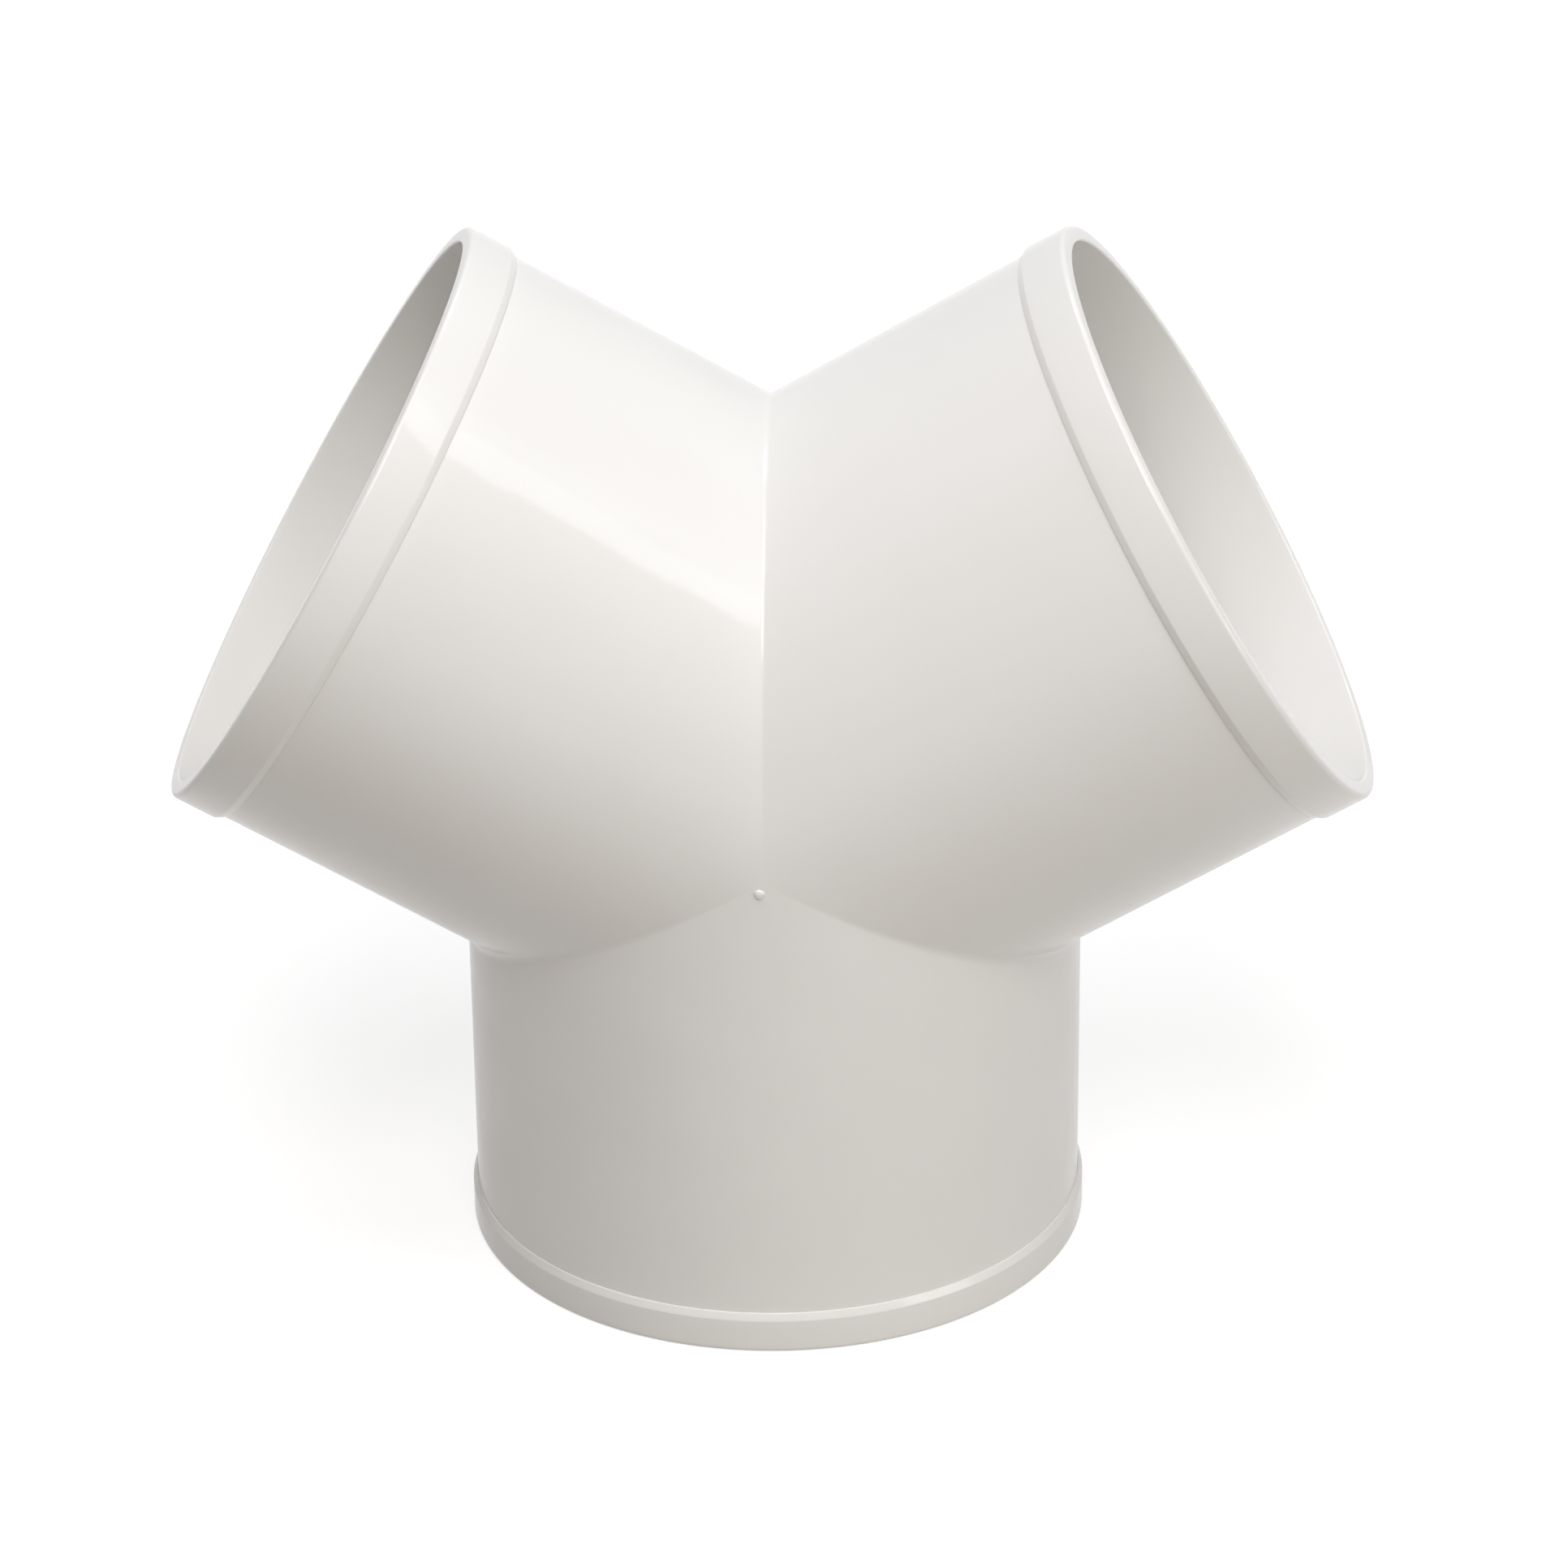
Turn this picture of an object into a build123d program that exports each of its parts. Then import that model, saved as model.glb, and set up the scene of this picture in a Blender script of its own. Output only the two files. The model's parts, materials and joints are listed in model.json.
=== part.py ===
"""Equal wye fitting for 110 mm duct: three thin-walled sockets that meet at 120 degrees, moulded in one piece.

The frame stands on the point where the three leg axes meet. The run socket opens down along -Z and the
two branch sockets rise to the left and right in the XZ plane. All sizes are in millimetres and degrees.
"""

from build123d import *
import os

# --- pipe that the sockets take -------------------------------------------------------------
pipe_diameter = 110.0  # outside diameter of the duct pipe
socket_clearance = 0.2  # radial gap round the pipe
socket_depth = 46.0  # from the mouth to the stop that the pipe's end lands on
stop_height = 1.6  # step in from the socket bore to the throat
stop_bevel = 0.4  # on the inner edge of the stop
mouth_bevel = 0.6  # on the inner edge of the mouth, which guides the pipe in

# --- legs -----------------------------------------------------------------------------------
wall = 2.4  # wall of the socket, between bore and outside
run_length = 95.6  # from the meeting point to the run's mouth
branch_length = 95.6  # from the meeting point to each branch's mouth
branch_angle = 60.0  # of each branch from the run's axis, carried on upwards

# --- collar round each mouth ----------------------------------------------------------------
collar_width = 9.8  # along the leg, from shoulder to lip
collar_height = 0.95  # that it stands out from the leg
shoulder_slope = 1.3  # along the leg, over which the collar rises
shoulder_foot = 0.25  # square step at the foot of that slope
lip_bevel = 1.1  # on the outer edge of the mouth
lip_easing = 0.45  # on both edges of that bevel, so that the lip is close to round

# --- rounding in the corners between the legs -----------------------------------------------
run_crotch_radius = 3.6  # between the run and each branch
branch_crotch_radius = 1.4  # between the two branches
throat_crotch_radius = 1.2  # on the edges between the throats, inside

# --- stub that the mould's gate leaves on the front -----------------------------------------
gate_diameter = 2.0
gate_height = 0.5
gate_drop = 2.0  # below the meeting point

bore_radius = pipe_diameter / 2 + socket_clearance
throat_radius = bore_radius - stop_height
outer_radius = bore_radius + wall
collar_radius = outer_radius + collar_height

# Each leg is made pointing down and turned about Y: the run stays, the branches turn up.
run_turn = 0.0
branch_turns = (180.0 - branch_angle, branch_angle - 180.0)
legs = [(run_turn, run_length)] + [(turn, branch_length) for turn in branch_turns]


def leg_outside(length):
    """Solid leg from the meeting point down to its mouth, with the collar and its eased lip."""
    collar_top = collar_width - length
    with BuildPart() as leg:
        with BuildSketch(Plane.XZ) as section:
            with BuildLine():
                Polyline(
                    (0, 0),
                    (outer_radius, 0),
                    (outer_radius, collar_top),
                    (outer_radius + shoulder_foot, collar_top),
                    (collar_radius, collar_top - shoulder_slope),
                    (collar_radius, -length),
                    (0, -length),
                    close=True,
                )
            make_face()
            lip = section.vertices().sort_by_distance((collar_radius, -length))[0]
            chamfer(lip, lip_bevel)
            lip_edges = section.vertices().sort_by_distance((collar_radius, -length))[:2]
            chamfer(lip_edges, lip_easing)
        revolve(axis=Axis.Z)
    return leg.part


def leg_inside(length):
    """Space inside one leg: the throat, the step that stops the pipe, and the socket out past its mouth."""
    stop = socket_depth - length
    with BuildPart() as space:
        with BuildSketch(Plane.XZ) as section:
            with BuildLine():
                Polyline(
                    (0, 0),
                    (throat_radius, 0),
                    (throat_radius, stop),
                    (bore_radius, stop),
                    (bore_radius, mouth_bevel - length),
                    (bore_radius + mouth_bevel, -length),
                    (0, -length),
                    close=True,
                )
            make_face()
            stop_edge = section.vertices().sort_by_distance((throat_radius, stop))[0]
            chamfer(stop_edge, stop_bevel)
        revolve(axis=Axis.Z)
    return space.part


def meeting_curves(solid):
    """The curves along which the legs' round walls cross, as (run to branch, branch to branch)."""
    curves = solid.edges().filter_by(GeomType.ELLIPSE)
    between_branches = curves.filter_by_position(Axis.X, -wall, wall)
    return curves - between_branches, between_branches


# --- outside of the fitting: three legs, with rounded corners between them ------------------
with BuildPart() as outside:
    for turn, length in legs:
        add(leg_outside(length), rotation=(0, turn, 0))
    fillet(meeting_curves(outside)[0], run_crotch_radius)
    fillet(meeting_curves(outside)[1], branch_crotch_radius)

# --- space inside: three throats and sockets, with rounded edges where the throats meet ------
with BuildPart() as inside:
    for turn, length in legs:
        add(leg_inside(length), rotation=(0, turn, 0))
    fillet(inside.edges().filter_by(GeomType.ELLIPSE), throat_crotch_radius)

# --- the fitting ----------------------------------------------------------------------------
with BuildPart() as wye_body:
    add(outside)
    gate_plane = Plane(origin=(0, -throat_radius - stop_height, -gate_drop), z_dir=(0, -1, 0))
    with BuildSketch(gate_plane):
        Circle(gate_diameter / 2)
    extrude(amount=wall + gate_height)
    add(inside, mode=Mode.SUBTRACT)

wye_body.part.label = "wye_body"
os.makedirs("parts", exist_ok=True)
export_step(wye_body.part, "parts/wye_body.step")
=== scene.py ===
"""Looks of the equal wye fitting: one glossy white plastic moulding on a pale floor.

All lengths are in metres, unless another unit is named.
"""
import json
import math
import bpy
import bmesh
from mathutils import Matrix, Vector


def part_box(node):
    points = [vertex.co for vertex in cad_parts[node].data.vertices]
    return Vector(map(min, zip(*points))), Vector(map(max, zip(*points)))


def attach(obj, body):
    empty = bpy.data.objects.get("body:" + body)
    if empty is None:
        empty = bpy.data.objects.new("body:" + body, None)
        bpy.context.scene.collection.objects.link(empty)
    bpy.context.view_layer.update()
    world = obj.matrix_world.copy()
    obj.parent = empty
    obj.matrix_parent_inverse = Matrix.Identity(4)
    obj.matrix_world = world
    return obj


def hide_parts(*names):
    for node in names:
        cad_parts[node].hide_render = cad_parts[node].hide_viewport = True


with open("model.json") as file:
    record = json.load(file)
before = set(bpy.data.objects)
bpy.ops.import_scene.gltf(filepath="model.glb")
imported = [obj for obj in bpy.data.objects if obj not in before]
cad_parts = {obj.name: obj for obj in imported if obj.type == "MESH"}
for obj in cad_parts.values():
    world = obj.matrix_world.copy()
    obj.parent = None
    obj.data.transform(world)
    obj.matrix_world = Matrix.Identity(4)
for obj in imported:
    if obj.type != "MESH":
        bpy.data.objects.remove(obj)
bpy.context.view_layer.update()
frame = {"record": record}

# --- sizes, read from the frame where it has them ---------------------------------------------
BORE = frame["record"]["mounts"][0]["dims"]["r_mm"] / 1000  # inside radius of a socket
NODE_LOW, NODE_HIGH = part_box("wye_body")
LENGTH = -NODE_LOW[2]  # from the meeting point to the run's mouth
COLLAR = NODE_HIGH[1]  # outside radius of the collar
WALL = 0.0024
STOP_HEIGHT = 0.0016
SOCKET_DEPTH = 0.046
OUTER = BORE + WALL  # outside radius of a leg
THROAT = BORE - STOP_HEIGHT  # radius of the passage behind the stop
STOP = LENGTH - SOCKET_DEPTH  # from the meeting point to the stop
MOUTH_LAND = 0.004  # of the socket's wall, drawn together with the mouth
STOP_LAND = 0.002  # of the throat's wall, drawn together with the stop
COLLAR_WIDTH = {"run": 0.0079, "left": 0.0098, "right": 0.0098}  # from its foot to the lip
FOOT = 0.00025  # square step at the foot of the collar
SLOPE = 0.0013  # along the leg, over which the collar rises from that step

# radii of the rounded edges
FOOT_EDGE = 0.00008
SHOULDER = 0.0007
LIP = 0.0010  # outside edge of a mouth
MOUTH = 0.0004  # inside edge of a mouth
STOP_EDGE = 0.0004
RUN_CROTCH = 0.0036  # where the run crosses the branches
BRANCH_CROTCH = 0.0014  # where the branches cross each other
THROAT_CROTCH = 0.0012  # where the throats cross

# stub of the mould's gate
STUB_RADIUS, STUB_HEIGHT = 0.00095, 0.00045
STUB_ROOT = 0.0002  # how far the stub goes into the wall
STUB_X, STUB_Z = -0.0008, -0.002

# steps of the meshes
COLUMNS = 288  # round a leg
CORNER_STEPS = 7  # over half of a crotch
WALL_STEPS = 14  # along a leg's outside and along a throat
SOCKET_STEPS = 8  # along a socket
EDGE_STEP = 9  # degrees, round an edge
STUB_COLUMNS, STUB_STEPS = 24, 7
SHARP = math.radians(25)  # an edge that bends by more is shown as sharp

SIN30, COS30, TAN30 = 0.5, math.sqrt(3) / 2, 1 / math.sqrt(3)
# a branch ends where its rounded lip comes up to the top of the node's box
BRANCH = (NODE_HIGH[2] - COS30 * COLLAR + (SIN30 + COS30 - 1) * LIP) / SIN30
REACH = {"run": LENGTH, "left": BRANCH, "right": BRANCH}

# each leg's direction, and the side vector square to it in the plane of the three legs
LEGS = {
    "run": (Vector((0, 0, -1)), Vector((1, 0, 0))),
    "left": (Vector((-COS30, 0, SIN30)), Vector((SIN30, 0, COS30))),
    "right": (Vector((COS30, 0, SIN30)), Vector((-SIN30, 0, COS30))),
}
FRONT = Vector((0, -1, 0))


# --- body -------------------------------------------------------------------------------------
def crotch_of(leg, sign):
    """Radius of the rounded corner on that side of a leg: +1 is towards the side vector."""
    if leg == "run":
        return RUN_CROTCH
    return BRANCH_CROTCH if sign > 0 else RUN_CROTCH


def corner(radius, turn, rounding):
    """(across, along) points, from the plane shared with the next leg to where the leg is plain."""
    wide = radius * abs(math.sin(turn))
    round_here = rounding * abs(math.sin(turn))
    centre = (wide + round_here, (wide + round_here) * TAN30)
    points = []
    for i in range(CORNER_STEPS + 1):
        a = math.radians(30) * (1 - i / CORNER_STEPS)
        points.append((centre[0] - round_here * math.cos(a), centre[1] - round_here * math.sin(a)))
    return points


def rounded(corners):
    """A line through (radius, along, rounding) corners, each one turned with its own rounding."""
    points = []
    for i, (r, along, rounding) in enumerate(corners):
        here = Vector((r, along))
        if rounding == 0 or i in (0, len(corners) - 1):
            points.append((r, along))
            continue
        back = (Vector(corners[i - 1][:2]) - here).normalized()
        ahead = (Vector(corners[i + 1][:2]) - here).normalized()
        half = back.angle(ahead) / 2
        centre = here + (back + ahead).normalized() * (rounding / math.sin(half))
        start = here + back * (rounding / math.tan(half)) - centre
        stop = here + ahead * (rounding / math.tan(half)) - centre
        swing = start.angle(stop)
        steps = max(2, round(math.degrees(swing) / EDGE_STEP))
        for k in range(steps + 1):
            t = k / steps
            spoke = start * math.sin((1 - t) * swing) + stop * math.sin(t * swing)
            points.append(tuple(centre + spoke / math.sin(swing)))
    return points


def mouth_profile(leg):
    """(radius, along) from the collar's foot over the lip into the socket and to the throat."""
    mouth = REACH[leg]
    foot = mouth - COLLAR_WIDTH[leg]
    points = rounded([
        (OUTER, foot, 0),
        (OUTER + FOOT, foot, FOOT_EDGE),
        (COLLAR, foot + SLOPE, SHOULDER),
        (COLLAR, mouth, LIP),
        (BORE, mouth, MOUTH),
        (BORE, mouth - MOUTH_LAND, 0),
    ])
    first, rest = mouth - MOUTH_LAND, STOP - mouth + MOUTH_LAND
    points += [(BORE, first + rest * i / SOCKET_STEPS) for i in range(1, SOCKET_STEPS + 1)]
    points += rounded([
        (BORE, STOP, 0),
        (THROAT, STOP, STOP_EDGE),
        (THROAT, STOP - STOP_LAND, 0),
    ])[1:]
    return points


def between(first, last):
    """Places along a plain wall, without its two ends."""
    return [first + (last - first) * i / WALL_STEPS for i in range(1, WALL_STEPS)]


def body_row(leg, turn, profile):
    """One line of points along a leg: from the outer crotch over the lip to the throat's crotch."""
    along, side = LEGS[leg]
    sign = 1 if math.sin(turn) >= 0 else -1
    radial = FRONT * math.cos(turn) + side * math.sin(turn)
    outside = corner(OUTER, turn, crotch_of(leg, sign))
    inside = corner(THROAT, turn, THROAT_CROTCH)[::-1]
    depth = FRONT * (OUTER * math.cos(turn))
    row = [side * sign * a + depth + along * s for a, s in outside]
    row += [radial * OUTER + along * s for s in between(outside[-1][1], profile[0][1])]
    row += [radial * r + along * s for r, s in profile]
    row += [radial * THROAT + along * s for s in between(profile[-1][1], inside[0][1])]
    depth = FRONT * (THROAT * math.cos(turn))
    row += [side * sign * a + depth + along * s for a, s in inside]
    return row


def strip(mesh, a, b):
    """Faces between two lines of points."""
    for i in range(len(a) - 1):
        mesh.faces.new((a[i], a[i + 1], b[i + 1], b[i]))


def finished(mesh, name):
    """Mesh data of that name; the bmesh is freed."""
    data = bpy.data.meshes.new(name)
    mesh.to_mesh(data)
    mesh.free()
    return data


def body_mesh():
    """The whole fitting as one closed mesh, with its sharp edges marked."""
    mesh = bmesh.new()
    for leg in LEGS:
        profile = mouth_profile(leg)
        rows = []
        for c in range(COLUMNS):
            row = body_row(leg, 2 * math.pi * c / COLUMNS, profile)
            rows.append([mesh.verts.new(v) for v in row])
        for c in range(COLUMNS):
            strip(mesh, rows[c], rows[(c + 1) % COLUMNS])
    bmesh.ops.remove_doubles(mesh, verts=mesh.verts, dist=2e-6)
    bmesh.ops.dissolve_degenerate(mesh, edges=mesh.edges, dist=1e-6)
    bmesh.ops.recalc_face_normals(mesh, faces=mesh.faces)
    for face in mesh.faces:
        face.smooth = True
    for edge in mesh.edges:
        if len(edge.link_faces) == 2 and edge.calc_face_angle(0) > SHARP:
            edge.smooth = False
    return finished(mesh, "wye_skin")


# --- stub of the mould's gate -----------------------------------------------------------------
def gate_stub():
    """A low stub, broken off and rounded over, just below the meeting point."""
    mesh = bmesh.new()
    rings = []
    for k in range(STUB_STEPS):
        lean = math.radians(90) * k / STUB_STEPS
        r = STUB_RADIUS * math.cos(lean)
        out = STUB_HEIGHT * math.sin(lean) - STUB_ROOT * (k == 0)
        ring = []
        for i in range(STUB_COLUMNS):
            a = 2 * math.pi * i / STUB_COLUMNS
            ragged = 1 + 0.06 * math.sin(3 * a + 0.6) + 0.03 * math.sin(5 * a)
            x = STUB_X + r * ragged * math.cos(a)
            z = STUB_Z + r * ragged * math.sin(a)
            ring.append(mesh.verts.new((x, -OUTER - out, z)))
        rings.append(ring + ring[:1])
    for a, b in zip(rings, rings[1:]):
        strip(mesh, a, b)
    tip = mesh.verts.new((STUB_X, -OUTER - STUB_HEIGHT, STUB_Z))
    for a, b in zip(rings[-1], rings[-1][1:]):
        mesh.faces.new((a, b, tip))
    mesh.faces.new(rings[0][-2::-1])
    bmesh.ops.recalc_face_normals(mesh, faces=mesh.faces)
    for face in mesh.faces:
        face.smooth = len(face.verts) < 5  # all but the root's flat end
    return finished(mesh, "gate_stub")


# --- plastic ----------------------------------------------------------------------------------
def node(nt, kind, values):
    """A new node with those input values."""
    made = nt.nodes.new(kind)
    for name, value in values.items():
        made.inputs[name].default_value = value
    return made


def noise(nt, place, scale, detail):
    made = node(nt, "ShaderNodeTexNoise", {"Scale": scale, "Detail": detail})
    nt.links.new(place.outputs["Object"], made.inputs["Vector"])
    return made.outputs["Fac"]


def map_range(nt, value, low, high, to_low, to_high):
    ends = {"From Min": low, "From Max": high, "To Min": to_low, "To Max": to_high}
    made = node(nt, "ShaderNodeMapRange", ends)
    nt.links.new(value, made.inputs["Value"])
    return made.outputs["Result"]


def bump(nt, height, strength, distance):
    made = node(nt, "ShaderNodeBump", {"Strength": strength, "Distance": distance})
    nt.links.new(height, made.inputs["Height"])
    return made


def plastic():
    """Glossy off-white moulded plastic: faintly cloudy, uneven in gloss, with slow waves."""
    mat = bpy.data.materials.new("white_plastic")
    mat.use_nodes = True
    nt = mat.node_tree
    bsdf = nt.nodes["Principled BSDF"]
    place = nt.nodes.new("ShaderNodeTexCoord")

    cloud = noise(nt, place, 14, 3)
    tint = nt.nodes.new("ShaderNodeValToRGB")
    darker, lighter = tint.color_ramp.elements
    darker.position, darker.color = 0.3, (0.838, 0.830, 0.808, 1)
    lighter.position, lighter.color = 0.7, (0.868, 0.862, 0.845, 1)
    nt.links.new(cloud, tint.inputs["Fac"])
    nt.links.new(tint.outputs["Color"], bsdf.inputs["Base Color"])

    smear = noise(nt, place, 45, 4)
    gloss = map_range(nt, smear, 0.3, 0.7, 0.34, 0.46)
    nt.links.new(gloss, bsdf.inputs["Roughness"])

    wave = noise(nt, place, 55, 1)
    grain = noise(nt, place, 900, 2)
    slow = bump(nt, wave, 1.0, 0.0002)
    fine = bump(nt, grain, 0.25, 0.00002)
    nt.links.new(slow.outputs["Normal"], fine.inputs["Normal"])
    nt.links.new(fine.outputs["Normal"], bsdf.inputs["Normal"])

    bsdf.inputs["IOR"].default_value = 1.5
    bsdf.inputs["Specular IOR Level"].default_value = 0.3
    bsdf.inputs["Coat Weight"].default_value = 0.5
    bsdf.inputs["Coat Roughness"].default_value = 0.07
    bsdf.inputs["Coat IOR"].default_value = 1.5
    nt.links.new(fine.outputs["Normal"], bsdf.inputs["Coat Normal"])
    return mat


# --- pieces -----------------------------------------------------------------------------------
white = plastic()
skin = bpy.data.objects.new("wye_skin", body_mesh())
bpy.context.scene.collection.objects.link(skin)
skin.data.materials.append(white)
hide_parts("wye_body")
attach(skin, "root")

stub = bpy.data.objects.new("gate_stub", gate_stub())
bpy.context.scene.collection.objects.link(stub)
stub.data.materials.append(white)
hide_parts("wye_body")
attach(stub, "root")


# --- floor and world --------------------------------------------------------------------------
def larger(nt, a, b):
    made = nt.nodes.new("ShaderNodeMath")
    made.operation = "MAXIMUM"
    nt.links.new(a, made.inputs[0])
    nt.links.new(b, made.inputs[1])
    return made.outputs[0]


def seen_directly(nt):
    """1 for the rays that show the background: camera, glossy and transmission rays."""
    rays = nt.nodes.new("ShaderNodeLightPath").outputs
    shown = larger(nt, rays["Is Camera Ray"], rays["Is Glossy Ray"])
    return larger(nt, shown, rays["Is Transmission Ray"])


def switch(nt, out, real, shown):
    """Gives the output the shown shader for rays that show the background, or else the real one."""
    mix = nt.nodes.new("ShaderNodeMixShader")
    nt.links.new(seen_directly(nt), mix.inputs["Fac"])
    nt.links.new(real.outputs[0], mix.inputs[1])
    nt.links.new(shown.outputs[0], mix.inputs[2])
    nt.links.new(mix.outputs[0], out.inputs["Surface"])


def floor_material():
    """A pale floor that shows white around the fitting's shadow."""
    mat = bpy.data.materials.new("floor")
    mat.use_nodes = True
    nt = mat.node_tree
    nt.nodes.clear()
    out = nt.nodes.new("ShaderNodeOutputMaterial")
    real = node(nt, "ShaderNodeBsdfDiffuse", {"Color": (0.54, 0.51, 0.48, 1)})
    lit = node(nt, "ShaderNodeBsdfDiffuse", {"Color": (0.40, 0.40, 0.40, 1)})
    lift = node(nt, "ShaderNodeEmission", {"Color": (1, 1, 1, 1)})

    # the lamps fall off away from the fitting, so the lift grows to a full white there
    place = nt.nodes.new("ShaderNodeTexCoord")
    away = nt.nodes.new("ShaderNodeVectorMath")
    away.operation = "LENGTH"
    nt.links.new(place.outputs["Object"], away.inputs[0])
    strength = map_range(nt, away.outputs["Value"], 0.4, 1.3, 0.76, 1.0)
    nt.links.new(strength, lift.inputs["Strength"])

    shown = nt.nodes.new("ShaderNodeAddShader")
    nt.links.new(lit.outputs[0], shown.inputs[0])
    nt.links.new(lift.outputs[0], shown.inputs[1])
    switch(nt, out, real, shown)
    return mat


FLOOR_SIZE = 12
bpy.ops.mesh.primitive_plane_add(size=FLOOR_SIZE, location=(0, 0, -LENGTH))
floor = bpy.context.object
floor.name = "floor"
floor.data.materials.append(floor_material())

world = bpy.data.worlds.new("studio")
bpy.context.scene.world = world
world.use_nodes = True
sky = world.node_tree
sky.nodes.clear()
out = sky.nodes.new("ShaderNodeOutputWorld")
air = node(sky, "ShaderNodeBackground", {"Color": (1.0, 0.965, 0.92, 1), "Strength": 0.06})
page = node(sky, "ShaderNodeBackground", {"Color": (1, 1, 1, 1), "Strength": 1.0})
switch(sky, out, air, page)

# --- lamps ------------------------------------------------------------------------------------
LAMP_DISTANCE = 1.6  # from the meeting point
KEY_AZIMUTH, KEY_ELEVATION = 51, 48  # of the key light's first strip, in degrees
STRIP_TURN = 13  # degrees between two strips
STRIP_WIDE, STRIP_HIGH = 0.243, 0.67
KEY_COLOUR = (0.90, 0.96, 1.0)


def softbox(name, azimuth, elevation, wide, high, power, colour):
    """A rectangular lamp that faces the fitting. Azimuth 0 is in front of it, 90 on its right."""
    a, e = math.radians(azimuth), math.radians(elevation)
    towards = Vector((math.sin(a) * math.cos(e), -math.cos(a) * math.cos(e), math.sin(e)))
    lamp = bpy.data.lights.new(name, "AREA")
    lamp.shape = "RECTANGLE"
    lamp.size = wide
    lamp.size_y = high
    lamp.energy = power
    lamp.color = colour
    obj = bpy.data.objects.new(name, lamp)
    obj.location = towards * LAMP_DISTANCE
    obj.rotation_euler = towards.to_track_quat("Z", "Y").to_euler()
    obj.visible_camera = False
    bpy.context.scene.collection.objects.link(obj)


# the key light is a row of four strips that fades towards the back
for number, power in enumerate((1.95, 0.9, 0.3, 0.1)):
    azimuth = KEY_AZIMUTH + STRIP_TURN * number
    softbox("key_%d" % number, azimuth, KEY_ELEVATION, STRIP_WIDE, STRIP_HIGH, power, KEY_COLOUR)
softbox("overhead", -22, 75, 0.8, 0.8, 9.6, (0.95, 0.975, 1.0))
softbox("front", 0, 50, 0.8, 0.6, 9.8, (1.0, 0.94, 0.90))
softbox("low_right", 60, 12, 0.7, 0.6, 4.6, (1.0, 0.97, 0.93))
softbox("back", 180, 62, 0.8, 0.4, 5.0, (1.0, 0.99, 0.98))

# --- camera -----------------------------------------------------------------------------------
AZIMUTH, ELEVATION, ROLL = math.radians(1.746), math.radians(25.468), math.radians(-0.717)
DISTANCE = 1.02416
TO_RIGHT, DOWN = 0.00216, 0.00705  # how far the camera stands off the line to the meeting point
SENSOR, LENS = 36, 126.6  # millimetres
CLIP_START, CLIP_END = 0.05, 50

back = Vector((
    math.sin(AZIMUTH) * math.cos(ELEVATION),
    -math.cos(AZIMUTH) * math.cos(ELEVATION),
    math.sin(ELEVATION),
))
level = Vector((0, 0, 1)).cross(back).normalized()
upright = back.cross(level)
right = level * math.cos(ROLL) + upright * math.sin(ROLL)
up = upright * math.cos(ROLL) - level * math.sin(ROLL)
camera = bpy.data.objects.new("camera", bpy.data.cameras.new("camera"))
bpy.context.scene.collection.objects.link(camera)
camera.data.sensor_width = SENSOR
camera.data.lens = LENS
camera.data.clip_start = CLIP_START
camera.data.clip_end = CLIP_END
camera.location = back * DISTANCE + right * TO_RIGHT - up * DOWN
camera.rotation_euler = Matrix((right, up, back)).transposed().to_euler()
bpy.context.scene.camera = camera
bpy.context.scene.view_settings.view_transform = "Standard"
